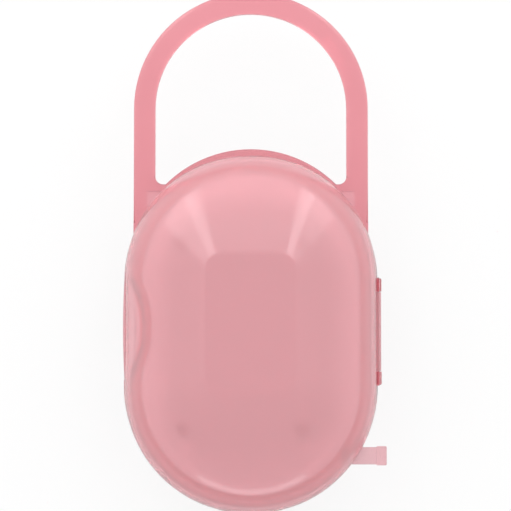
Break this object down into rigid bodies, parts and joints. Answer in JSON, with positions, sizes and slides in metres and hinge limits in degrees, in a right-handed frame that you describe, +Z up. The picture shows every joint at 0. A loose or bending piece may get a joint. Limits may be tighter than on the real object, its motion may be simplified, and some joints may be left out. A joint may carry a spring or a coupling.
{
  "type": "pacifier case",
  "caption": "Translucent clamshell pacifier case: hinged front shell, rigid loop handle over the top, finger scoop for opening and a side lug for a strap.",
  "frame": {"origin": "on the table, at the bottom centre of the closed case's bounding box, with its handle and lug included", "axes": "+Z up, out of the front face of the case as it lies on its back; +Y towards the loop handle; +X towards the hinge"},
  "size_m": [0.0676, 0.1346, 0.0454],
  "materials": {
    "shell_plastic": "translucent glossy pink polypropylene",
    "frame_plastic": "translucent glossy pink polypropylene, thicker and so deeper in colour",
    "lug_plastic": "translucent pink polypropylene, thin and pale",
    "foot_plastic": "smooth pink polypropylene"
  },
  "bodies": {
    "case": {"rear_shell": "shell_plastic", "rim_frame": "frame_plastic", "hinge_pin": "frame_plastic", "strap_lug": "lug_plastic", "foot_lower_left": "foot_plastic", "foot_lower_right": "foot_plastic", "foot_upper_left": "foot_plastic", "foot_upper_right": "foot_plastic"},
    "lid": {"front_shell": "shell_plastic"}
  },
  "joints": [
    {"name": "lid_hinge", "type": "hinge", "parent": "case", "child": "lid", "pos_m": [0.03163, -0.0207, 0.0243], "axis": [0, 1, 0], "range_deg": [0, 180]}
  ]
}
